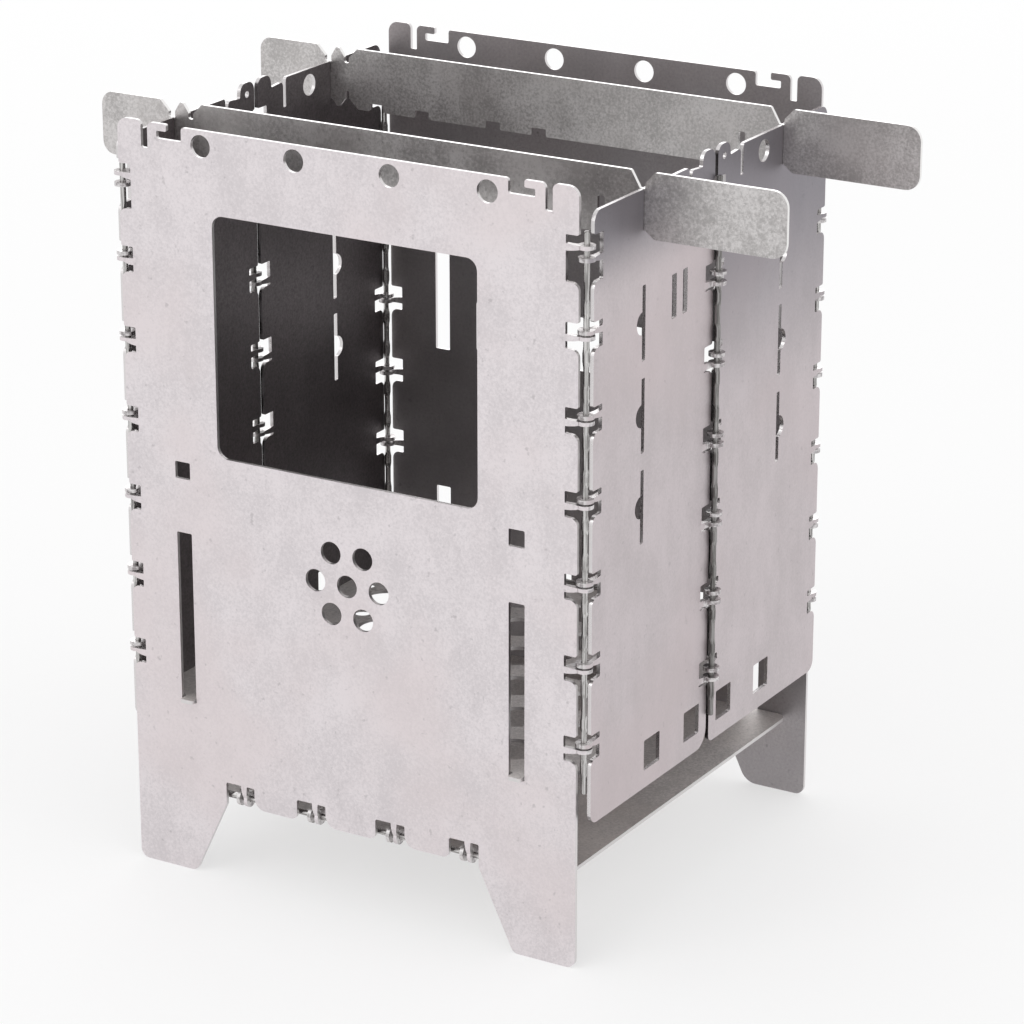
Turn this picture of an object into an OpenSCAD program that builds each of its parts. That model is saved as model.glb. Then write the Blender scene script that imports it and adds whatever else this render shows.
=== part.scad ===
// Folding twig stove: a four-sided box of flat sheet metal on legs.
// X runs to the right, Y to the rear and Z up. The origin lies on the ground, below the middle of the
// whole stove with its trivets. The modules are drawn about the middle of the box.
// Front and back are one piece each. Each side is two half walls, hinged along a mid rod.
// Every hinge line is a straight rod through rings that are bent out of the sheet edges.

/* [Sheet] */
// Thickness of every sheet
sheet = 1; // [0.8:0.05:1.2]
// Width of the front and back panels
panel_w = 134; // [132:0.5:140]
// Height of the panels, feet to corner lobes
panel_h = 203.4; // [202:0.2:206]
// Depth of the box over the front and back panels
box_depth = 128; // [127.6:0.1:128.4]
// Distance of the outer faces of the side walls beyond the panel edges
wall_stand = 2.65; // [2.5:0.05:2.8]

/* [Hinges] */
// Diameter of the hinge rods
rod_d = 1.5; // [1.4:0.05:1.6]
// Gap around a rod in its rings, on the radius
rod_gap = 0.08; // [0.03:0.01:0.1]
// Outside diameter of a knuckle ring
ring_d = 4.3; // [3.9:0.1:4.4]
// Thickness of a knuckle ring
ring_t = 1; // [0.8:0.05:1.1]
// Width of the twisted neck that carries a ring
neck_w = 1.9; // [1.4:0.1:2.1]
// Depth of a knuckle notch in the edge of a panel
panel_notch = 3.6; // [3.4:0.1:3.8]
// Height of the lowest knuckle
first_knuckle = 59.2; // [58:0.2:60]
// Spacing of the knuckles up a corner
knuckle_step = 21.35; // [21:0.05:21.5]
// Distance of the highest knuckle below the corner lobes
top_knuckle_drop = 15; // [13.4:0.2:16.4]
// Height of the rod of the base plate
base_rod_z = 23.3; // [22.8:0.1:23.6]
// Distance of the inner plate knuckles from the middle
plate_knuckle_in = 12.1; // [11:0.1:13]
// Distance of the outer plate knuckles from the middle
plate_knuckle_out = 34.3; // [33:0.1:35]

/* [Front and back] */
// Width of the fire window
window_w = 77.6; // [70:0.2:80]
// Lower edge of the fire window
window_low = 117.6; // [116:0.2:122]
// Distance of the fire window below the corner lobes
window_drop = 21.7; // [20:0.1:27]
// Distance of the slot pairs from the middle
slot_x = 49.9; // [48.5:0.1:50.5]
// Width of the tall slots, and side of the square holes
slot_w = 4.6; // [4.2:0.1:5]
// Bottom of the tall slots in the front panel
front_slot_low = 48.1; // [47:0.1:49]
// Top of the tall slots in the front panel
front_slot_high = 95.3; // [92:0.1:98]
// Lower edge of the square holes in the front panel
square_hole_low = 110; // [108:0.2:112]
// Top of the lower tall slots in the back panel
back_slot_high = 70; // [68:0.2:74]
// Bottom of the upper tall slots in the back panel
upper_slot_low = 111; // [109:0.2:113]
// Top of the upper tall slots in the back panel
upper_slot_high = 158.2; // [155:0.2:160]
// Height of the draught opening in the back panel
draught_h = 15.5; // [12:0.5:18]
// Diameter of the air holes in the middle of the front panel
air_hole_d = 6; // [4:0.2:7]
// Diameter of the round holes along the top edge
top_hole_d = 5.9; // [5:0.1:6.4]
// Spacing of the round holes along the top edge
top_hole_step = 27.8; // [26:0.1:29]

/* [Side walls] */
// Height of the lower edge of the side walls
wall_low = 39; // [38:0.2:41]
// Distance of the upper edge of the side walls below the corner lobes
wall_drop = 6.2; // [5.8:0.1:6.8]
// Distance of the trivets from the middle
trivet_y = 36.6; // [36.4:0.1:36.8]
// Width of the slot that holds a trivet
trivet_slot = 1.3; // [1.25:0.01:1.4]
// Depth of the slot that holds a trivet
trivet_slot_deep = 10.4; // [10.2:0.05:10.6]
// Bottom of the lowest slit
slit_low = 106; // [104:0.2:108]
// Height of a slit
slit_h = 19.4; // [16:0.2:21]
// Spacing of the slits
slit_step = 23.8; // [22.5:0.1:24.5]
// Side of the square air holes
air_square = 8.2; // [6:0.2:9]
// Lower edge of the square air holes
air_square_low = 43.8; // [42.5:0.1:45]

/* [Trivets] */
// Length of the trivet tab outside the right wall
right_tab = 38.45; // [30:0.5:45]
// Length of the trivet tab outside the left wall
left_tab = 21.2; // [18:0.2:30]
// Distance of the trivet tops above the side walls
trivet_rise = 4.3; // [3.6:0.1:5]

/* [Plates] */
// Width of the base plate and of the grate
plate_w = 123.2; // [118:0.2:126]
// Diameter of the large holes in the grate
grate_hole_d = 13.5; // [10:0.1:14]
// Spacing of the large holes in the grate
grate_step = 21.4; // [20:0.1:22]
// Diameter of the small holes in the grate
grate_small_d = 5.4; // [3:0.1:6]

/* [Hidden] */
$fn = 48;
front_tone = [0.84, 0.82, 0.82];
wall_tone = [0.75, 0.71, 0.72];
plate_tone = [0.5, 0.48, 0.48];
rod_tone = [0.86, 0.86, 0.86];
half_w = panel_w / 2;
panel_y = box_depth / 2 - sheet / 2;
wall_span = panel_w + 2 * wall_stand;
wall_x = wall_span / 2 - sheet / 2;
rod_x = half_w + 0.73;
rod_y = panel_y - 2.1;
mid_rod_x = wall_x + 1.45;
wall_high = panel_h - wall_drop;
trivet_slot_low = wall_high - trivet_slot_deep;
top_knuckle = panel_h - top_knuckle_drop;
window_high = panel_h - window_drop;
// The knuckles go up in equal steps, and the last gap is a little larger
last_knuckle_gap = 22.45;
knuckle_steps = floor((top_knuckle - last_knuckle_gap - first_knuckle) / knuckle_step + 0.1);
rod_low = first_knuckle - 11.9;
rod_high = top_knuckle + 3.9;
bore_d = rod_d + 2 * rod_gap;
knuckles = [for (k = [0:knuckle_steps]) first_knuckle + k * knuckle_step];
panel_rings = concat(knuckles, [top_knuckle]);
wall_rings = concat([for (z = knuckles) z + 1.5], [top_knuckle - 3]);
mid_low_rings = concat([for (z = knuckles) z - 1.3], [top_knuckle - 3.6]);
mid_high_rings = concat([for (z = knuckles) z + 1.3], [top_knuckle - 1]);
notch_lows = concat([for (z = knuckles) z - 2.8], [top_knuckle - 8.6]);
notch_highs = concat([for (z = knuckles) z + 3.9], [top_knuckle + 3.1]);
// The side walls end at the corner rods and short of the mid rod
wall_mid_edge = 0.75;
wall_corner_edge = rod_y - 0.2;
corner_notch = 4.3;
mid_notch = 4.15;
// The plates turn on rods behind the front panel and before the back panel
plate_drop = 0.8;
plate_notch_w = 8.9;
plate_notch_x = [-plate_knuckle_out, -plate_knuckle_in, plate_knuckle_in, plate_knuckle_out];
plate_reach = 4.4;
plate_edge = rod_y - 1.1;
plate_end = panel_y - sheet / 2 - 0.6;
tab_end = box_depth / 2 + 1.4;
tab_w = slot_w - 0.8;
base_z = base_rod_z - plate_drop;
base_slot_low = base_z - sheet / 2 - 0.05;
grate_z = front_slot_low + 0.05 + sheet / 2;
grate_rod_z = grate_z + plate_drop;
ring_shift = 1.15;
// A trivet sits astride both walls: its necks clear them on both sides
neck_in = wall_x - sheet / 2 - 0.25;
neck_out = wall_x + sheet / 2 + 0.2;
left_neck_out = neck_out + 0.55;
trivet_neck_low = trivet_slot_low + 0.05;
trivet_low = trivet_slot_low - 2;
trivet_high = wall_high + trivet_rise;
// Four notches in the lower edge of a trivet, from the left, and one narrow cut near the right wall
trivet_notch_x = [for (d = [14.4, 28.9, 51.3, 65.5]) d - neck_in];
trivet_cut = neck_in - 11.7;
// The trivets reach further out on the right, so the middle of the stove is not the middle of the box
middle_x = (neck_out + right_tab - left_neck_out - left_tab) / 2;

function unit(v) = v / norm(v);

// Points that round the corner b, between its neighbours a and c, with radius r
function corner(a, b, c, r) =
    let (q = [b.x, b.y], u = unit([a.x, a.y] - q), v = unit([c.x, c.y] - q), half = acos(u * v) / 2)
    r < 0.05 ? [q] :
    let (
        centre = q + unit(u + v) * r / sin(half),
        start = q + u * r / tan(half) - centre,
        end = q + v * r / tan(half) - centre,
        angle = atan2(start.y, start.x),
        sweep = ((atan2(end.y, end.x) - angle + 540) % 360) - 180,
        steps = r < 0.5 ? 2 : r < 1.5 ? 4 : 7
    )
    [for (i = [0:steps]) centre + r * [cos(angle + sweep * i / steps), sin(angle + sweep * i / steps)]];

// Closed outline from corners [x, y, radius]
function rounded(list) =
    let (n = len(list))
    [for (i = [0:n - 1]) each corner(list[(i + n - 1) % n], list[i], list[(i + 1) % n], list[i].z)];

// The same corners on the other side of the middle, in the order that closes the outline
function mirrored(list) = [for (i = [len(list) - 1:-1:0]) [-list[i].x, list[i].y, list[i].z]];

// Notches in an upright edge at x = edge, cut in to x = inner, from the lowest to the highest
function edge_notches(edge, inner) = [for (i = [0:len(notch_lows) - 1]) each [
    [edge, notch_lows[i], 2.1], [inner, notch_lows[i], 0.3],
    [inner, notch_highs[i], 0.3], [edge, notch_highs[i], 0.5]]];

function reversed(list) = [for (i = [len(list) - 1:-1:0]) list[i]];

// Point on the curve that leaves a towards b and ends at c
function bend(a, b, c, t) = (1 - t) * (1 - t) * a + 2 * t * (1 - t) * b + t * t * c;

// Right leg, from the inside to the outside
leg_x = plate_knuckle_out + plate_notch_w / 2;
leg = [[leg_x, 21.5, 1], [leg_x + 10.25, 0, 2.4], [half_w, 0, 2.6]];
back_leg = [[leg_x, 21.5, 3], [leg_x + 10.25, 0, 5], [half_w, 0, 2.6]];
// Corner lobe, hook slot, hook, throat and the middle of the top edge, from the right
lobe_x = half_w - 7.2;
post_x = lobe_x - 2;
throat_z = panel_h - 4.1;
top_edge = [
    [half_w, panel_h, 3], [lobe_x, panel_h, 1.5], [lobe_x, panel_h - 7, 0.3], [post_x, panel_h - 7, 0.3],
    [post_x, panel_h - 0.2, 1.5], [post_x - 5.8, panel_h - 0.2, 0.4], [post_x - 5.8, panel_h - 2.1, 0.4],
    [post_x - 2.8, panel_h - 2.1, 0.3], [post_x - 2.8, throat_z, 0.5], [post_x - 10.3, throat_z, 0.5],
    [post_x - 10.3, panel_h - 0.4, 0.8]];
// Lower edge between the front legs: four notches with rounded tongues between them
tongues = [for (i = [0:3], j = [0:3])
    let (x = plate_notch_x[i] + (j < 2 ? -1 : 1) * plate_notch_w / 2)
    if (!(i == 0 && j == 0) && !(i == 3 && j == 3))
        j == 0 ? [x, 22, 1.8] : j == 3 ? [x, 22, 3.2] : [x, base_rod_z + plate_reach, 0.5]];
side_edge = edge_notches(half_w, half_w - panel_notch);
upper_edge = concat(side_edge, top_edge, mirrored(concat(side_edge, top_edge)));
front_outline = concat(mirrored(leg), tongues, leg, upper_edge);
back_outline = concat(mirrored(back_leg), back_leg, upper_edge);

// Sheet that stands across the depth, its middle plane at y
module across(y) {
    translate([0, y + sheet / 2, 0]) rotate([90, 0, 0]) linear_extrude(sheet) children();
}

// Sheet that stands along the depth, its middle plane at x
module along(x) {
    translate([x - sheet / 2, 0, 0]) rotate([90, 0, 90]) linear_extrude(sheet) children();
}

// Rectangle between two heights, with rounded corners
module slot(x, w, low, high, r = 0.3) {
    polygon(rounded([[x - w / 2, low, r], [x + w / 2, low, r], [x + w / 2, high, r], [x - w / 2, high, r]]));
}

// Strip along a path, its half width going from w0 to w1
module strip(path, w0, w1) {
    n = len(path) - 1;
    side = [for (i = [0:n])
        let (d = unit(path[min(i + 1, n)] - path[max(i - 1, 0)]), w = w0 + (w1 - w0) * i / n)
        [-d.y, d.x] * w];
    polygon(concat([for (i = [0:n]) path[i] + side[i]], [for (i = [n:-1:0]) path[i] - side[i]]));
}

// Ring about the Z axis at the origin, and the neck that bends to it from a sheet edge. The sheet
// lies beyond x = -reach, its middle plane at y = off. The neck starts upright and ends flat.
module knuckle(reach, off) {
    n = 5;
    tip = unit([-0.45 * reach, off]) * (ring_d / 2 - 0.8);
    path = [for (i = [0:n]) bend([-reach - 0.4, off], [-0.45 * reach, off], tip, i / n)];
    half = [for (i = [0:n]) (neck_w + (ring_t - neck_w) * i / n) / 2];
    translate([0, 0, -ring_t / 2]) cylinder(d = ring_d, h = ring_t);
    intersection() {
        translate([0, 0, -2]) linear_extrude(4) strip(path, sheet / 2, neck_w / 2);
        translate([0, 5, 0]) rotate([90, 0, 0]) linear_extrude(10)
            polygon(concat([for (i = [0:n]) [path[i].x, half[i]]],
                [for (i = [n:-1:0]) [path[i].x, -half[i]]]));
    }
}

// Knuckles of a panel on its two corner rods
module panel_knuckles() {
    for (side = [0, 1], z = panel_rings)
        mirror([side, 0, 0]) translate([rod_x, -rod_y, z])
            knuckle(rod_x - half_w + panel_notch, rod_y - panel_y);
}

// Bores for the two corner rods
module corner_bores() {
    for (x = [-rod_x, rod_x])
        translate([x, -rod_y, rod_low - 7]) cylinder(d = bore_d, h = rod_high - rod_low + 14);
}

// Bore along X for the rod of a plate, at the front
module plate_bore(z) {
    translate([-plate_knuckle_out - 10, -rod_y, z]) rotate([0, 90, 0])
        cylinder(d = bore_d, h = 2 * plate_knuckle_out + 20);
}

// Knuckles of a panel on the rod of a plate, at the front
module plate_rod_knuckles(z) {
    for (x = plate_notch_x)
        translate([x + ring_shift, -rod_y, z]) rotate([0, 90, 0]) knuckle(plate_reach, rod_y - panel_y);
}

// Row of round holes below the top edge
module top_holes() {
    for (i = [-1.5:1:1.5])
        translate([i * top_hole_step, panel_h - 4.5]) circle(d = top_hole_d);
}

// Group of seven round air holes in the middle of the front panel
module air_holes() {
    translate([0, 90]) circle(d = air_hole_d);
    for (a = [0:60:300])
        translate([9.5 * cos(a), 90 + 9.5 * sin(a)]) circle(d = air_hole_d);
}

module front_sheet() {
    difference() {
        polygon(rounded(front_outline));
        slot(0, window_w, window_low, window_high, 3.2);
        for (x = [-slot_x, slot_x]) {
            slot(x, slot_w, front_slot_low, front_slot_high);
            slot(x, slot_w, square_hole_low, square_hole_low + slot_w);
        }
        top_holes();
        air_holes();
    }
}

module front_panel() {
    color(front_tone)
    difference() {
        union() {
            across(-panel_y) front_sheet();
            panel_knuckles();
            plate_rod_knuckles(base_rod_z);
        }
        corner_bores();
        plate_bore(base_rod_z);
    }
}

module back_sheet() {
    difference() {
        polygon(rounded(back_outline));
        slot(0, window_w, upper_slot_low + 0.8, upper_slot_low + 0.8 + draught_h, 1.5);
        for (x = [-slot_x, slot_x]) {
            slot(x, slot_w, base_slot_low, back_slot_high);
            slot(x, slot_w, upper_slot_low, upper_slot_high);
        }
        for (x = plate_notch_x)
            slot(x, plate_notch_w, grate_rod_z - 3, grate_rod_z + plate_reach);
        top_holes();
    }
}

module back_panel() {
    color(front_tone)
    mirror([0, 1, 0])
    difference() {
        union() {
            across(-panel_y) back_sheet();
            panel_knuckles();
            plate_rod_knuckles(grate_rod_z);
        }
        corner_bores();
        plate_bore(grate_rod_z);
    }
}

// Outline of a half wall, from the mid rod outward: x here is the distance from the middle
function wall_outline(mid_r) =
    let (s = trivet_slot / 2, t = trivet_y, top = wall_high)
    concat(
        [[wall_mid_edge, wall_low, mid_r], [wall_corner_edge, wall_low, 3]],
        edge_notches(wall_corner_edge, wall_corner_edge - corner_notch),
        [[wall_corner_edge, top, 3], [t + s, top, 0.4], [t + s, trivet_slot_low, 0.2],
            [t - s, trivet_slot_low, 0.2], [t - s, top, 0.5], [14.2, top, 0.8], [14.2, top - 8, 0.2],
            [12.9, top - 8, 0.2], [12.9, top - 0.9, 1.2], [7.4, top - 1.4, 0.4], [6.9, top + 2.3, 2.4],
            [wall_mid_edge, top + 2.3, 2.6]],
        reversed(edge_notches(wall_mid_edge, wall_mid_edge + mid_notch)));

// Upright slit with a half-round bulge towards the corner
module slit(low, high) {
    slot(trivet_y, 1.6, low, high, 0.3);
    intersection() {
        translate([trivet_y + 0.5, (low + high) / 2]) circle(d = 6);
        translate([trivet_y, low]) square([4, high - low]);
    }
}

module wall_sheet(mid_r, ear_hole, vents) {
    difference() {
        polygon(rounded(wall_outline(mid_r)));
        for (i = [0:2])
            slit(slit_low + i * slit_step, slit_low + i * slit_step + slit_h);
        for (x = [8.8, 29.9])
            slot(x, air_square, air_square_low, air_square_low + air_square);
        translate([25.5, wall_high - 4.4]) circle(d = top_hole_d);
        if (ear_hole) translate([4.1, wall_high - 0.9]) circle(d = 1.8);
        if (vents)
            for (x = [15.6, 21.2])
                slot(x, 2.4, wall_high - 36.7, wall_high - 25.2);
    }
}

// Rear half of the right wall. The rings at the mid rod lie at the given heights.
module half_wall(mid_r, mid_rings, ear_hole, vents = false) {
    color(wall_tone)
    difference() {
        union() {
            along(wall_x) wall_sheet(mid_r, ear_hole, vents);
            for (z = wall_rings)
                translate([rod_x, rod_y, z]) rotate(90)
                    knuckle(rod_y - wall_corner_edge + corner_notch, rod_x - wall_x);
            for (z = mid_rings)
                translate([mid_rod_x, 0, z]) rotate(-90)
                    knuckle(wall_mid_edge + mid_notch, wall_x - mid_rod_x);
        }
        translate([rod_x, rod_y, rod_low - 7]) cylinder(d = bore_d, h = rod_high - rod_low + 14);
        translate([mid_rod_x, 0, rod_low - 7]) cylinder(d = bore_d, h = rod_high - rod_low + 14);
    }
}

module right_front_wall() mirror([0, 1, 0]) half_wall(5, mid_low_rings, false, true);
module right_rear_wall() half_wall(2, mid_high_rings, true);
module left_front_wall() mirror([1, 0, 0]) mirror([0, 1, 0]) half_wall(2, mid_high_rings, true);
module left_rear_wall() mirror([1, 0, 0]) half_wall(5, mid_low_rings, false);

// Rod with a flattened crimp centred at each of the given places, from low to high along Z
module crimped_rod(low, high, crimps) {
    r = rod_d / 2;
    wide = [for (c = crimps) each [[r, c - 2.6], [r + 0.22, c - 1], [r + 0.22, c + 1], [r, c + 2.6]]];
    thin = [for (c = crimps) each
        [[r + 0.05, c - 2.6], [r - 0.18, c - 1], [r - 0.18, c + 1], [r + 0.05, c + 2.6]]];
    color(rod_tone)
    intersection() {
        rotate_extrude() polygon(concat([[0, low], [r - 0.2, low], [r, low + 0.2]], wide,
            [[r, high - 0.2], [r - 0.2, high], [0, high]]));
        translate([0, 5, 0]) rotate([90, 0, 0]) linear_extrude(10)
            polygon(concat([[-r - 0.05, low - 1], [r + 0.05, low - 1]], thin,
                [[r + 0.05, high + 1], [-r - 0.05, high + 1]],
                [for (i = [len(thin) - 1:-1:0]) [-thin[i].x, thin[i].y]]));
    }
}

// Rod of an upright hinge line, crimped below and above every knuckle
module upright_rod(x, y, turn) {
    crimps = [for (z = knuckles) each [z - 5, z + 7]];
    translate([x, y, 0]) rotate(turn) crimped_rod(rod_low, rod_high, crimps);
}

module front_right_rod() upright_rod(rod_x, -rod_y, -30);
module rear_right_rod() upright_rod(rod_x, rod_y, 30);
module front_left_rod() upright_rod(-rod_x, -rod_y, 30);
module rear_left_rod() upright_rod(-rod_x, rod_y, -30);
module right_mid_rod() upright_rod(mid_rod_x, 0, 60);
module left_mid_rod() upright_rod(-mid_rod_x, 0, 60);

// Rod of a plate, crimped just outside its outermost knuckles
module plate_rod(y, z) {
    translate([0, y, z]) rotate([0, 90, 0])
        crimped_rod(plate_notch_x[0] - 7.5, plate_notch_x[3] + 7.5,
            [plate_notch_x[0] - 4.7, plate_notch_x[3] + 4.7]);
}

module base_rod() plate_rod(-rod_y, base_rod_z);
module grate_rod() plate_rod(rod_y, grate_rod_z);

// Outline of a plate that turns on the front rod and has its tabs at the rear
plate_outline = concat(
    [[-plate_w / 2, -plate_edge, 2]],
    [for (x = plate_notch_x) each [[x - plate_notch_w / 2, -plate_edge, 0.5],
        [x - plate_notch_w / 2, -rod_y + plate_reach, 0.4],
        [x + plate_notch_w / 2, -rod_y + plate_reach, 0.4], [x + plate_notch_w / 2, -plate_edge, 0.5]]],
    [[plate_w / 2, -plate_edge, 2], [plate_w / 2, plate_end, 3],
        [slot_x + tab_w / 2, plate_end, 0.2], [slot_x + tab_w / 2, tab_end, 0.5],
        [slot_x - tab_w / 2, tab_end, 0.5], [slot_x - tab_w / 2, plate_end, 0.2],
        [-slot_x + tab_w / 2, plate_end, 0.2], [-slot_x + tab_w / 2, tab_end, 0.5],
        [-slot_x - tab_w / 2, tab_end, 0.5], [-slot_x - tab_w / 2, plate_end, 0.2],
        [-plate_w / 2, plate_end, 3]]);

// Plate with its knuckles on a rod at the front, at height rod_z
module hinged_plate(rod_z) {
    difference() {
        union() {
            translate([0, 0, rod_z - plate_drop - sheet / 2]) linear_extrude(sheet) difference() {
                polygon(rounded(plate_outline));
                children();
            }
            for (x = plate_notch_x)
                translate([x - ring_shift, -rod_y, rod_z]) rotate([-90, 0, 0]) rotate([0, 90, 0])
                    knuckle(plate_reach, plate_drop);
        }
        plate_bore(rod_z);
    }
}

module base_plate() {
    color(plate_tone) hinged_plate(base_rod_z);
}

// Large holes in offset rows, with a small hole in the middle of every three
module grate_holes() {
    row = grate_step * sqrt(3) / 2;
    for (j = [-3:3], i = [-3:3])
        let (x = 8.5 + (i - (j % 2 == 0 ? 0 : 0.5)) * grate_step, y = -6 + j * row) {
            if (abs(x) < plate_w / 2 - 9 && abs(y) < rod_y - 11.4)
                translate([x, y]) circle(d = grate_hole_d);
            for (d = [-1, 1])
                if (abs(x) < plate_w / 2 - 5 && abs(y + d * row * 2 / 3) < rod_y - 7.4)
                    translate([x, y + d * row * 2 / 3]) circle(d = grate_small_d);
        }
}

module grate() {
    color(plate_tone) mirror([0, 1, 0]) hinged_plate(grate_rod_z) grate_holes();
}

// Corners of a trivet, seen from the front
trivet_outline =
    let (low = trivet_low, high = trivet_high, neck = trivet_neck_low, top = wall_high,
        lobe = -neck_in + 4.2, body = -neck_in + 5.7,
        right = neck_out + right_tab, left = -left_neck_out - left_tab)
    concat(
        [[body, low + 2.7, 0.3], [body + 2.7, low, 0.8]],
        [for (x = trivet_notch_x) each [[x - 2.2, low, 0.5], [x - 2.2, low + 2.1, 0.3],
            [x + 2.2, low + 2.1, 0.3], [x + 2.2, low, 0.5]]],
        [[trivet_cut, low, 0.4], [trivet_cut, low + 9.1, 0.5],
            [trivet_cut + 2, low + 9.1, 0.5], [trivet_cut + 2, low, 0.4],
            [neck_in - 2.1, low, 0.5], [neck_in, neck, 0.3], [neck_out, neck, 0.3],
            [neck_out + 2.6, low, 0.8],
            [right, low, 4], [right, high, 4], [neck_out + 2.7, high, 0.8], [neck_out, high - 2.8, 0.8],
            [neck_out, top, 0.2], [neck_in, top, 0.2], [neck_in - 2.5, high, 0.8],
            [body + 2.7, high, 1], [body, high - 2.6, 0.8],
            [body, top + 0.1, 0.4], [lobe, top + 0.1, 0.4],
            [lobe, high - 2.6, 1], [lobe - 2.2, high + 0.5, 0.8],
            [-neck_in, high - 2.7, 1], [-neck_in, top, 0.2],
            [-left_neck_out, top, 0.2], [-left_neck_out, high - 2.8, 0.8],
            [-left_neck_out - 2.7, high, 0.8],
            [left, high, 3.6], [left, low, 3.6], [-left_neck_out - 2.7, low, 0.8],
            [-left_neck_out, neck, 0.4], [-neck_in, neck, 0.1], [-neck_in, low + 2.4, 0.2],
            [lobe - 2.2, low - 0.4, 0.8], [lobe, low + 2.4, 0.8],
            [lobe, low + 4.8, 0.4], [body, low + 4.8, 0.4]]);

module trivet(y) {
    color(plate_tone) across(y) polygon(rounded(trivet_outline));
}

module front_trivet() trivet(-trivet_y);
module rear_trivet() trivet(trivet_y);

translate([-middle_x, 0, 0]) {
    front_panel();
    back_panel();
    right_front_wall();
    right_rear_wall();
    left_front_wall();
    left_rear_wall();
    front_right_rod();
    rear_right_rod();
    front_left_rod();
    rear_left_rod();
    right_mid_rod();
    left_mid_rod();
    base_rod();
    grate_rod();
    base_plate();
    grate();
    front_trivet();
    rear_trivet();
}
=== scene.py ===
"""A folding twig stove of thin titanium sheet, dressed for a studio photograph."""

import logging
import math
from dataclasses import dataclass, field, replace
from enum import Enum
from typing import Any, Optional, Union

import bpy
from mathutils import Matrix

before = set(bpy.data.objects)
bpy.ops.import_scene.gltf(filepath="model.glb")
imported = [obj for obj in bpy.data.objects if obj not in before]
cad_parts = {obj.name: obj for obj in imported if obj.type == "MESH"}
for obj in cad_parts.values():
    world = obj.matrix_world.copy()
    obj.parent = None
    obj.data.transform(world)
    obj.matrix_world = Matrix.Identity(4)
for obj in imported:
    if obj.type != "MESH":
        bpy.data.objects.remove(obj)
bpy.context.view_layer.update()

log = logging.getLogger("twig_stove")

Number = Union[int, float]
Colour = tuple[float, float, float]
Span = tuple[float, float]

MM = 0.001
MM_PER_M = 1000.0

# The place of the box's middle on X. The trivets reach further out on the right.
BOX_MIDDLE_MM = -8.35

BLACK: Colour = (0.0, 0.0, 0.0)
WHITE: Colour = (1.0, 1.0, 1.0)
FLOOR_GREY: Colour = (0.86, 0.86, 0.86)
# The dark colour of the painted shade toward the top of the walls' outer side.
TOP_SHADE_COLOUR: Colour = (0.07, 0.08, 0.11)


class Axis(Enum):
    """The direction that a flat sheet faces, or that a rod runs in."""

    X = 0
    Y = 1
    Z = 2


@dataclass(frozen=True)
class Pattern:
    """A cloudy noise.

    Attributes:
        size_mm: The size of a cloud.
        detail: The number of finer layers.
        rough: The strength of the finer layers.
    """

    size_mm: float
    detail: float
    rough: float


class Value:
    """A shader socket that takes part in Python expressions."""

    def __init__(self, graph: "Graph", socket: Optional[bpy.types.NodeSocket]) -> None:
        """Keeps the socket and the graph that it belongs to.

        Args:
            graph: The node graph that new nodes are added to.
            socket: The output socket that this value stands for, or none behind an output node.
        """
        self.graph = graph
        self.socket = socket

    def _math(self, operation: str, first: Any, second: Any = None) -> "Value":
        """Adds a Math node.

        Args:
            operation: The name of the operation.
            first: The first operand.
            second: The second operand, if there is one.

        Returns:
            The result.
        """
        inputs = {0: first} if second is None else {0: first, 1: second}
        return self.graph.node("ShaderNodeMath", {"operation": operation}, inputs)

    def __add__(self, other: Any) -> "Value":
        """Returns the sum."""
        return self._math("ADD", self, other)

    def __radd__(self, other: Any) -> "Value":
        """Returns the sum, from the right."""
        return self._math("ADD", other, self)

    def __sub__(self, other: Any) -> "Value":
        """Returns the difference."""
        return self._math("SUBTRACT", self, other)

    def __rsub__(self, other: Any) -> "Value":
        """Returns the difference, from the right."""
        return self._math("SUBTRACT", other, self)

    def __mul__(self, other: Any) -> "Value":
        """Returns the product."""
        return self._math("MULTIPLY", self, other)

    def __rmul__(self, other: Any) -> "Value":
        """Returns the product, from the right."""
        return self._math("MULTIPLY", other, self)

    def __abs__(self) -> "Value":
        """Returns the size without its sign."""
        return self._math("ABSOLUTE", self)

    def at_most(self, limit: Number) -> "Value":
        """Cuts the value off at a limit.

        Args:
            limit: The largest value that stays.

        Returns:
            The smaller of the two.
        """
        return self._math("MINIMUM", self, limit)

    def or_more(self, other: "Value") -> "Value":
        """Joins two masks.

        Args:
            other: The other mask.

        Returns:
            The larger of the two.
        """
        return self._math("MAXIMUM", self, other)

    def swing(self, weight: Number) -> "Value":
        """Turns a noise of 0 to 1 into a swing about 0.

        Args:
            weight: How far it swings from one end to the other.

        Returns:
            The swing.
        """
        middle = 0.5
        return (self - middle) * weight

    def ramp(self, low: Number, high: Number) -> "Value":
        """Maps the value to 0 at low and 1 at high, smoothly.

        Args:
            low: The value that becomes 0.
            high: The value that becomes 1.

        Returns:
            The smooth step.
        """
        settings = {"interpolation_type": "SMOOTHSTEP"}
        inputs = {"Value": self, "From Min": low, "From Max": high}
        return self.graph.node("ShaderNodeMapRange", settings, inputs)

    def ramp_mm(self, low: Number, high: Number) -> "Value":
        """Maps a length to 0 at low and 1 at high, smoothly.

        Args:
            low: The length that becomes 0, in millimetres.
            high: The length that becomes 1, in millimetres.

        Returns:
            The smooth step.
        """
        return self.ramp(low * MM, high * MM)


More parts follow.
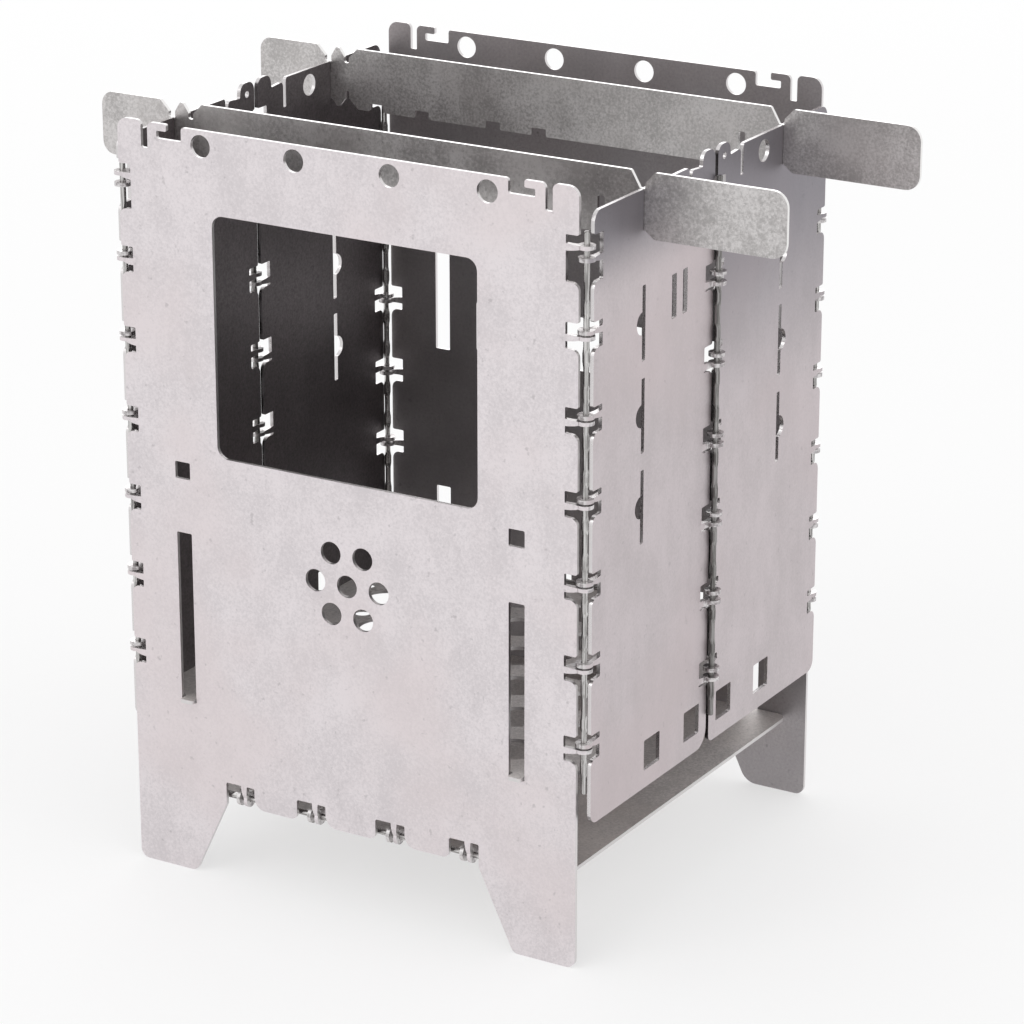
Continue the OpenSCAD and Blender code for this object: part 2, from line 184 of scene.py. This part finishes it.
class Graph:
    """The node tree of one material or world."""

    def __init__(self, tree: bpy.types.NodeTree) -> None:
        """Takes over a node tree and empties it.

        Args:
            tree: The node tree.
        """
        self.tree = tree
        tree.nodes.clear()

    def node(
        self,
        kind: str,
        settings: Optional[dict[str, Any]] = None,
        inputs: Optional[dict[Union[str, int], Any]] = None,
        output: Union[str, int] = 0,
    ) -> Value:
        """Adds a node, sets it up and links it.

        Args:
            kind: The type of the node.
            settings: Its properties, which are set first.
            inputs: Values or links of its sockets, by name or place.
            output: The output to return, by name or place.

        Returns:
            The output as a value.
        """
        made = self.tree.nodes.new(kind)
        for name, setting in (settings or {}).items():
            setattr(made, name, setting)
        for name, given in (inputs or {}).items():
            if isinstance(given, Value):
                self.tree.links.new(given.socket, made.inputs[name])
            elif isinstance(given, tuple) and made.inputs[name].type == "RGBA":
                made.inputs[name].default_value = (*given, 1.0)
            else:
                made.inputs[name].default_value = given
        return Value(self, made.outputs[output] if made.outputs else None)

    def place(self) -> Value:
        """Returns the position on the piece, in metres."""
        return self.node("ShaderNodeTexCoord", output="Object")

    def facing(self) -> Value:
        """Returns the direction that the surface faces on the piece."""
        return self.node("ShaderNodeTexCoord", output="Normal")

    def part(self, vector: Value, axis: Axis) -> Value:
        """Takes one coordinate of a vector.

        Args:
            vector: The vector.
            axis: The coordinate to take.

        Returns:
            The coordinate.
        """
        return self.node("ShaderNodeSeparateXYZ", {}, {0: vector}, axis.value)

    def stretched(self, vector: Value, scale: tuple[float, float, float]) -> Value:
        """Scales a vector, so that a pattern on it gets longer or shorter.

        Args:
            vector: The vector.
            scale: The factor along each axis.

        Returns:
            The scaled vector.
        """
        return self.node("ShaderNodeMapping", {}, {"Vector": vector, "Scale": scale})

    def noise(self, vector: Value, pattern: Pattern) -> Value:
        """Adds cloudy noise.

        Args:
            vector: The position to read it at.
            pattern: The size of the clouds and their finer layers.

        Returns:
            The noise, about 0 to 1.
        """
        inputs = {
            "Vector": vector,
            "Scale": MM_PER_M / pattern.size_mm,
            "Detail": pattern.detail,
            "Roughness": pattern.rough,
        }
        return self.node("ShaderNodeTexNoise", {}, inputs)

    def mix(self, factor: Any, first: Any, second: Any) -> Value:
        """Mixes two colours.

        Args:
            factor: The share of the second colour.
            first: The first colour.
            second: The second colour.

        Returns:
            The mixed colour.
        """
        settings = {"data_type": "RGBA", "clamp_factor": True}
        return self.node("ShaderNodeMix", settings, {0: factor, 6: first, 7: second}, 2)

    def surface(self, colour: Value, rough: Value, metal: float, bump: Value) -> None:
        """Adds the shader of a piece and its output.

        Args:
            colour: The base colour.
            rough: The roughness.
            metal: How metallic it is.
            bump: The bumped normal.
        """
        inputs = {"Base Color": colour, "Roughness": rough, "Metallic": metal, "Normal": bump}
        shader = self.node("ShaderNodeBsdfPrincipled", {}, inputs)
        self.node("ShaderNodeOutputMaterial", {}, {"Surface": shader})

    def bump(self, height: Value, strength: float, depth_m: float) -> Value:
        """Adds small bumps.

        Args:
            height: The height, about 0 to 1.
            strength: How strongly they show.
            depth_m: How deep they are, in metres.

        Returns:
            The bumped normal.
        """
        inputs = {"Strength": strength, "Distance": depth_m, "Height": height}
        return self.node("ShaderNodeBump", {}, inputs)


def new_material(name: str) -> bpy.types.Material:
    """Makes an empty material with nodes.

    Args:
        name: Its name.

    Returns:
        The material.
    """
    material = bpy.data.materials.new(name)
    material.use_nodes = True
    return material


def darker(colour: Colour, share: float) -> Colour:
    """Darkens a colour.

    Args:
        colour: The colour.
        share: How much of its brightness is left.

    Returns:
        The darker colour.
    """
    return tuple(share * c for c in colour)


# The noises of the sheets. The clouds and the warm patches take their size from the finish.
CLOUD_LAYERS = {"detail": 5.0, "rough": 0.62}
PATCH_LAYERS = {"detail": 2.0, "rough": 0.5}
PATCH_SIZE = 2.6
STREAKS = Pattern(6.0, 4.0, 0.6)
STREAK_SCALE = (1.0, 1.0, 0.35)
GRAIN = Pattern(0.75, 3.0, 0.75)
SPOTS = Pattern(1.9, 2.0, 0.5)
WEAR = Pattern(1.3, 2.0, 0.6)
PITS = Pattern(0.22, 2.0, 0.6)

# Noise values at which a mark begins and is full.
TONE_SPAN: Span = (0.36, 0.72)
PATCH_SPAN: Span = (0.45, 0.68)
SPOT_SPAN: Span = (0.66, 0.78)
WEAR_SPAN: Span = (0.35, 0.65)

# How squarely a face looks along the sheet's axis, where a cut edge ends and a flat side is full.
FLAT_SPAN: Span = (0.35, 0.8)

# The same, where the side that faces inward, which gets painted shade, begins and is full.
INNER_SPAN: Span = (0.3, 0.8)

# How far off the middle plane a bent ring begins and is full.
RING_SPAN_MM: Span = (0.6, 0.9)

# Where the painted shade on the cut edges in the mid hinge's gap ends, in multiples of its reach.
GAP_SHADE_FADE = 1.5

# How the tone is made up, which then runs from dark to light.
CLOUD_SHARE = 0.55
STREAK_SHARE = 0.25
TONE_BASE = 0.15

# How strongly the warm patches, the cut edges and the rings cover what is below them.
PATCH_SHARE = 0.5
CUT_SHARE = 0.9
RING_SHARE = 0.85

# How much the grain shows in the painted shade of the side that faces inward.
INNER_GRAIN = 0.5

# How much of the dark colour's brightness is left in a speck, in the painted shade of the mid
# hinge's gap and on a worn ring.
SPECK_LEFT = 0.45
GAP_SHADE_LEFT = 0.12
WEAR_LEFT = 0.5


@dataclass(frozen=True)
class SheetFinish:
    """The finish of blasted titanium sheet with laser-cut edges.

    Attributes:
        name: The name of the finish.
        light: The colour of the lighter clouds.
        dark: The colour of the darker clouds.
        blush: The colour of the faint warm patches.
        edge: The colour of the cut edges and the rings, brighter than the flat side on the walls
            and trivets partly as painted highlight and partly as bare cut metal.
        roughness: The roughness of the flat surface.
        cloud_mm: The size of the clouds.
        speck: The strength of the small dark specks.
        grain: The strength of the fine light and dark grain.
        inside: How bright the painted shade leaves the side that faces inward, where 1 is as bright
            as the outside.
        metal: How metallic the sheet is, below 1 where a dull film covers it.
        gap_mm: How far the painted shade on the cut edges in the mid hinge's gap reaches from the
            middle, or 0 for none.
        top_shade: How strongly painted shade darkens the upper end of the outer side.
        top_shade_mm: The heights between which that painted shade grows.
        cloud_rough: How much the clouds change the roughness.
        grain_rough: How much the grain changes it.
        polish: How much smoother the cut edges and the rings are.
        grain_height: The share of the grain in the bumps, where the pits have the rest.
        bump: How strongly the bumps show.
        bump_m: How deep they are, in metres.
    """

    name: str
    light: Colour
    dark: Colour
    blush: Colour
    edge: Colour
    roughness: float
    cloud_mm: float
    speck: float
    grain: float
    inside: float = 1.0
    metal: float = 1.0
    gap_mm: float = 0.0
    top_shade: float = 0.0
    top_shade_mm: Span = (0.0, 1.0)
    cloud_rough: float = 0.2
    grain_rough: float = 0.14
    polish: float = 0.2
    grain_height: float = 0.7
    bump: float = 0.22
    bump_m: float = 0.00012

    def material(self, axis: Axis, middle_mm: float) -> bpy.types.Material:
        """Builds the material of one sheet.

        Args:
            axis: The direction that the sheet faces.
            middle_mm: The place of its middle plane on that axis.

        Returns:
            The material.
        """
        material = new_material(f"{self.name}_{axis.name.lower()}_{middle_mm:.0f}")
        graph = Graph(material.node_tree)
        place = graph.place()
        straight = graph.part(graph.facing(), axis)
        cut = 1.0 - abs(straight).ramp(*FLAT_SPAN)
        ring = abs(graph.part(place, axis) - middle_mm * MM).ramp_mm(*RING_SPAN_MM)
        clouds = graph.noise(place, Pattern(self.cloud_mm, **CLOUD_LAYERS))
        grain = graph.noise(place, GRAIN)

        colour = self.marked(graph, place, clouds, grain)
        # Painted shade: the side that faces inward is darkened, and the upper end of the outer side
        # too.
        if self.inside < 1.0:
            inward = -1.0 if middle_mm > 0.0 else 1.0
            inner = (straight * inward).ramp(*INNER_SPAN)
            colour = self.painted_inner_and_top_shade(graph, place, colour, inner, grain)
        colour = self.edged(graph, place, colour, cut, ring)

        rough = self.roughness + clouds.swing(self.cloud_rough) + grain.swing(self.grain_rough)
        rough = rough - cut.or_more(ring) * self.polish
        pits = graph.noise(place, PITS)
        height = (grain * self.grain_height + pits * (1.0 - self.grain_height)) * (1.0 - cut)
        graph.surface(colour, rough, self.metal, graph.bump(height, self.bump, self.bump_m))
        return material

    def marked(self, graph: Graph, place: Value, clouds: Value, grain: Value) -> Value:
        """Builds the colour of a flat side: clouds, streaks, grain, warm patches and specks.

        Args:
            graph: The graph to build in.
            place: The position on the sheet.
            clouds: The noise of the clouds.
            grain: The noise of the grain.

        Returns:
            The colour.
        """
        streaks = graph.noise(graph.stretched(place, STREAK_SCALE), STREAKS)
        patches = graph.noise(place, Pattern(self.cloud_mm * PATCH_SIZE, **PATCH_LAYERS))
        spots = graph.noise(place, SPOTS).ramp(*SPOT_SPAN)
        tone = clouds * CLOUD_SHARE + streaks * STREAK_SHARE + grain.swing(self.grain) + TONE_BASE
        colour = graph.mix(tone.ramp(*TONE_SPAN), self.dark, self.light)
        colour = graph.mix(patches.ramp(*PATCH_SPAN) * PATCH_SHARE, colour, self.blush)
        return graph.mix(spots * self.speck, colour, darker(self.dark, SPECK_LEFT))

    def painted_inner_and_top_shade(self, graph: Graph, place: Value, colour: Value, inner: Value, grain: Value) -> Value:
        """Paints shade on the side that faces inward, and paints shade on the upper end of the
        other one.

        Args:
            graph: The graph to build in.
            place: The position on the sheet.
            colour: The colour so far.
            inner: 1 on the side that faces the fire.
            grain: The noise of the grain.

        Returns:
            The colour.
        """
        # Painted shade: the inner side is darkened towards black, standing in for the shade inside
        # the box.
        dimmed = 1.0 - self.inside + grain.swing(INNER_GRAIN)
        colour = graph.mix(inner * dimmed, colour, BLACK)
        # Painted shade: the upper end of the outer side is darkened towards a dark blue-grey,
        # standing in for shade and dark reflections near the top.
        warm = graph.part(place, Axis.Z).ramp_mm(*self.top_shade_mm) * (1.0 - inner)
        return graph.mix(warm * self.top_shade, colour, TOP_SHADE_COLOUR)

    def edged(self, graph: Graph, place: Value, colour: Value, cut: Value, ring: Value) -> Value:
        """Adds the cut edges, brighter in part as painted highlight, the painted shade in the mid
        hinge's gap and the worn rings.

        Args:
            graph: The graph to build in.
            place: The position on the sheet.
            colour: The colour so far.
            cut: 1 on a cut edge.
            ring: 1 on a bent ring.

        Returns:
            The colour.
        """
        # Painted highlight in part: on the walls and trivets the cut edges are brighter than the
        # flat side, standing in for light glinting on them as well as bare cut metal.
        colour = graph.mix(cut * CUT_SHARE, colour, self.edge)
        # Painted shade: the cut edges in the mid hinge's gap are darkened near the middle.
        if self.gap_mm > 0.0:
            across = abs(graph.part(place, Axis.Y))
            near = 1.0 - across.ramp_mm(self.gap_mm, GAP_SHADE_FADE * self.gap_mm)
            colour = graph.mix(near * cut * (1.0 - ring), colour, darker(self.dark, GAP_SHADE_LEFT))
        worn = graph.noise(place, WEAR).ramp(*WEAR_SPAN)
        ring_colour = graph.mix(worn, darker(self.dark, WEAR_LEFT), self.edge)
        return graph.mix(ring * RING_SHARE, colour, ring_colour)


@dataclass(frozen=True)
class RodFinish:
    """The finish of drawn stainless wire with flattened crimps.

    Attributes:
        name: The name of the finish.
        light: The colour of the bright wire.
        dark: The colour in the drawing marks.
        roughness: The roughness of the wire.
        marks: The noise of the drawing marks.
        mark_span: The noise values between dark and light.
        drawn: The factor along the wire, which makes the marks long.
        soil: The noise of the dull patches.
        soil_span: The noise values at which a dull patch begins and is full.
        soil_share: How much a dull patch darkens the wire.
        mark_rough: How much the marks change the roughness.
        soil_rough: How much a dull patch adds to it.
        bump: How strongly the marks show as bumps.
        bump_m: How deep they are, in metres.
    """

    name: str
    light: Colour
    dark: Colour
    roughness: float
    marks: Pattern = Pattern(0.35, 3.0, 0.6)
    mark_span: Span = (0.35, 0.65)
    drawn: float = 0.03
    soil: Pattern = Pattern(5.0, 3.0, 0.6)
    soil_span: Span = (0.5, 0.75)
    soil_share: float = 0.4
    mark_rough: float = 0.2
    soil_rough: float = 0.12
    bump: float = 0.3
    bump_m: float = 0.00006

    def material(self, axis: Axis) -> bpy.types.Material:
        """Builds the material of a rod.

        Args:
            axis: The direction that the rod runs in.

        Returns:
            The material.
        """
        material = new_material(f"{self.name}_{axis.name.lower()}")
        graph = Graph(material.node_tree)
        place = graph.place()
        scale = tuple(self.drawn if way is axis else 1.0 for way in Axis)
        marks = graph.noise(graph.stretched(place, scale), self.marks)
        soil = graph.noise(place, self.soil).ramp(*self.soil_span)
        colour = graph.mix(marks.ramp(*self.mark_span), self.dark, self.light)
        colour = graph.mix(soil * self.soil_share, colour, self.dark)
        rough = self.roughness + marks.swing(self.mark_rough) + soil * self.soil_rough
        graph.surface(colour, rough, 1.0, graph.bump(marks, self.bump, self.bump_m))
        return material


# The panels' side that faces inward is darkened as painted shade.
PANEL = SheetFinish(
    "panel_titanium",
    light=(0.78, 0.735, 0.75), dark=(0.655, 0.615, 0.63),
    blush=(0.735, 0.66, 0.665), edge=(0.72, 0.70, 0.70),
    roughness=0.52, cloud_mm=16.0, speck=0.3, grain=0.8, inside=0.54,
)
# The walls get painted shade on the side that faces inward, in the mid hinge's gap and toward the
# top of the outer side.
FRONT_WALL = SheetFinish(
    "front_wall_titanium",
    light=(0.625, 0.57, 0.585), dark=(0.515, 0.47, 0.48),
    blush=(0.60, 0.52, 0.53), edge=(0.70, 0.68, 0.68),
    roughness=0.48, cloud_mm=26.0, speck=0.2, grain=0.5, inside=0.35,
    gap_mm=1.0, top_shade=0.6, top_shade_mm=(173.0, 192.0),
)
# The rear walls' painted top shade begins lower.
REAR_WALL = replace(FRONT_WALL, name="rear_wall_titanium", top_shade_mm=(118.0, 186.0))
PLATE = SheetFinish(
    "plate_titanium",
    light=(0.74, 0.70, 0.69), dark=(0.52, 0.495, 0.485),
    blush=(0.67, 0.61, 0.58), edge=(0.66, 0.64, 0.64),
    roughness=0.55, cloud_mm=18.0, speck=0.4, grain=1.0, metal=0.6,
)
# The trivets' bright cut edges are partly painted highlight.
TRIVET = SheetFinish(
    "trivet_titanium",
    light=(0.66, 0.64, 0.635), dark=(0.41, 0.395, 0.39),
    blush=(0.56, 0.53, 0.52), edge=(0.90, 0.89, 0.88),
    roughness=0.4, cloud_mm=14.0, speck=0.4, grain=0.9,
)
ROD = RodFinish(
    "rod_steel", light=(0.66, 0.65, 0.64), dark=(0.25, 0.24, 0.235), roughness=0.2,
)
# The rods in the mid hinges' gaps are darker, as painted shade.
SHADED_ROD = RodFinish(
    "shaded_rod_steel", light=(0.34, 0.33, 0.325), dark=(0.12, 0.115, 0.11), roughness=0.28,
)


def dress(node: str, material: bpy.types.Material) -> None:
    """Gives a node of the frame its material.

    Args:
        node: The name of the node.
        material: The material for all of it.
    """
    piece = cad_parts[node]
    piece.data.materials.clear()
    piece.data.materials.append(material)
    log.info("dressed %s with %s", node, material.name)


@dataclass
class SheetBox:
    """The box: two panels, four half walls and the rods that hinge them.

    Attributes:
        panel_mm: The distance of the panels' middle planes from the middle.
        wall_mm: The distance of the walls' middle planes from the middle.
        corner_rods: The upright rods at the corners.
        mid_rods: The upright rods between the half walls, which are darkened as painted shade.
        level_rods: The rods that lie along X.
    """

    panel_mm: float = 63.5
    wall_mm: float = 69.15
    corner_rods: tuple[str, ...] = (
        "front_right_rod", "rear_right_rod", "front_left_rod", "rear_left_rod",
    )
    mid_rods: tuple[str, ...] = ("right_mid_rod", "left_mid_rod")
    level_rods: tuple[str, ...] = ("base_rod", "grate_rod")

    def dress_panels(self) -> None:
        """Dresses the front and the back."""
        dress("front_panel", PANEL.material(Axis.Y, -self.panel_mm))
        dress("back_panel", PANEL.material(Axis.Y, self.panel_mm))

    def dress_walls(self) -> None:
        """Dresses the four half walls."""
        for side, sign in (("right", 1.0), ("left", -1.0)):
            middle_mm = BOX_MIDDLE_MM + sign * self.wall_mm
            for end, finish in (("front", FRONT_WALL), ("rear", REAR_WALL)):
                dress(f"{side}_{end}_wall", finish.material(Axis.X, middle_mm))

    def dress_rods(self) -> None:
        """Dresses the hinge rods."""
        kinds = (
            (self.corner_rods, ROD, Axis.Z),
            # The mid rods take the darker finish, as painted shade.
            (self.mid_rods, SHADED_ROD, Axis.Z),
            (self.level_rods, ROD, Axis.X),
        )
        for nodes, finish, axis in kinds:
            material = finish.material(axis)
            for node in nodes:
                dress(node, material)

    def build(self) -> None:
        """Dresses the whole box."""
        self.dress_panels()
        self.dress_walls()
        self.dress_rods()


@dataclass
class Plates:
    """The ash plate and the grate.

    Attributes:
        base_mm: The height of the base plate's middle plane.
        grate_mm: The height of the grate's middle plane.
    """

    base_mm: float = 22.5
    grate_mm: float = 48.65

    def build(self) -> None:
        """Dresses both plates."""
        dress("base_plate", PLATE.material(Axis.Z, self.base_mm))
        dress("grate", PLATE.material(Axis.Z, self.grate_mm))


@dataclass
class Trivets:
    """The two pot supports.

    Attributes:
        trivet_mm: The distance of their middle planes from the middle.
    """

    trivet_mm: float = 36.6

    def build(self) -> None:
        """Dresses both trivets."""
        dress("front_trivet", TRIVET.material(Axis.Y, -self.trivet_mm))
        dress("rear_trivet", TRIVET.material(Axis.Y, self.trivet_mm))


@dataclass
class Lamp:
    """A soft square lamp.

    Attributes:
        name: Its name.
        place: Where it stands, in metres.
        size: The length of its sides, in metres.
        power: Its power in watts.
        aim: The point that it faces.
    """

    name: str
    place: tuple[float, float, float]
    size: float
    power: float
    aim: tuple[float, float, float] = (0.0, 0.0, 0.1)

    def build(self) -> None:
        """Adds the lamp."""
        bpy.ops.object.light_add(type="AREA", location=self.place)
        lamp = bpy.context.object
        lamp.name = self.name
        lamp.data.shape = "SQUARE"
        lamp.data.size = self.size
        lamp.data.energy = self.power
        away = lamp.location - type(lamp.location)(self.aim)
        lamp.rotation_euler = away.to_track_quat("Z", "Y").to_euler()
        lamp.visible_camera = False


@dataclass
class Studio:
    """The floor, the lamps and the camera.

    Attributes:
        eye: The place of the camera, in metres.
        turn_deg: How far the camera is turned to the left of straight ahead.
        tilt_deg: How far it looks down.
        level_deg: The turn about X that makes a camera look level.
        lens_mm: Its focal length.
        sensor_mm: The width of its sensor.
        clip_end_m: The furthest that it sees.
        floor_m: The side of the floor.
        floor_white: How much of the floor near the stove is plain white.
        fade_m: Where the floor starts to fade into the surroundings, and where it has.
        world: The strength of the surroundings' light.
        lamps: The lamps.
    """

    eye: tuple[float, float, float] = (0.51223, -0.85492, 0.44749)
    turn_deg: float = 30.827
    tilt_deg: float = 19.629
    level_deg: float = 90.0
    lens_mm: float = 140.69
    sensor_mm: float = 36.0
    clip_end_m: float = 60.0
    floor_m: float = 12.0
    floor_white: float = 0.55
    fade_m: Span = (0.5, 3.0)
    world: float = 0.95
    lamps: list[Lamp] = field(default_factory=lambda: [
        Lamp("key_lamp", (-0.55, -1.5, 1.4), 1.3, 6.8),
        Lamp("side_lamp", (1.7, 0.25, 0.8), 1.2, 2.4),
        Lamp("rim_lamp", (-1.05, 1.75, 0.95), 1.5, 7.0),
    ])

    def light_path(self, graph: Graph) -> Value:
        """Tells the rays that see the background from those that light the piece.

        Args:
            graph: The graph to build in.

        Returns:
            1 for a camera, glossy or transmission ray, and 0 for the rest.
        """
        rays = ("Is Camera Ray", "Is Glossy Ray", "Is Transmission Ray")
        camera, glossy, through = (graph.node("ShaderNodeLightPath", output=ray) for ray in rays)
        return (camera + glossy + through).at_most(1.0)

    def build_world(self) -> None:
        """Makes the pale surroundings."""
        world = bpy.data.worlds.new("studio")
        bpy.context.scene.world = world
        world.use_nodes = True
        graph = Graph(world.node_tree)
        strength = self.world + self.light_path(graph) * (1.0 - self.world)
        inputs = {"Color": WHITE, "Strength": strength}
        shader = graph.node("ShaderNodeBackground", {}, inputs)
        graph.node("ShaderNodeOutputWorld", {}, {"Surface": shader})

    def build_floor(self) -> None:
        """Makes the pale floor, which keeps the shadow."""
        bpy.ops.mesh.primitive_plane_add(size=self.floor_m, location=(0.0, 0.0, 0.0))
        floor = bpy.context.object
        floor.name = "floor"
        material = new_material("pale_floor")
        graph = Graph(material.node_tree)
        plain = graph.node("ShaderNodeBsdfDiffuse", {}, {"Color": FLOOR_GREY})
        white = graph.node("ShaderNodeEmission", {}, {"Color": WHITE, "Strength": 1.0})
        length = {"operation": "LENGTH"}
        away = graph.node("ShaderNodeVectorMath", length, {0: graph.place()}, "Value")
        white_share = self.floor_white + away.ramp(*self.fade_m) * (1.0 - self.floor_white)
        share = self.light_path(graph) * white_share
        shader = graph.node("ShaderNodeMixShader", {}, {0: share, 1: plain, 2: white})
        graph.node("ShaderNodeOutputMaterial", {}, {"Surface": shader})
        floor.data.materials.append(material)

    def build_camera(self) -> None:
        """Makes the camera at the photograph's angle."""
        down, left = math.radians(self.level_deg - self.tilt_deg), math.radians(self.turn_deg)
        bpy.ops.object.camera_add(location=self.eye, rotation=(down, 0.0, left))
        camera = bpy.context.object
        camera.data.lens = self.lens_mm
        camera.data.sensor_width = self.sensor_mm
        camera.data.sensor_fit = "HORIZONTAL"
        camera.data.clip_end = self.clip_end_m
        bpy.context.scene.camera = camera

    def build(self) -> None:
        """Builds the studio."""
        bpy.context.scene.view_settings.view_transform = "Standard"
        self.build_camera()
        self.build_world()
        self.build_floor()
        for lamp in self.lamps:
            lamp.build()
        log.info("studio ready with %d lamps", len(self.lamps))


def main() -> None:
    """Builds the stove's looks and the studio."""
    logging.basicConfig(level=logging.INFO)
    bpy.ops.object.select_all(action="DESELECT")
    for part in (Studio(), SheetBox(), Plates(), Trivets()):
        part.build()
        log.info("built %s", type(part).__name__)


if __name__ == "__main__":
    main()
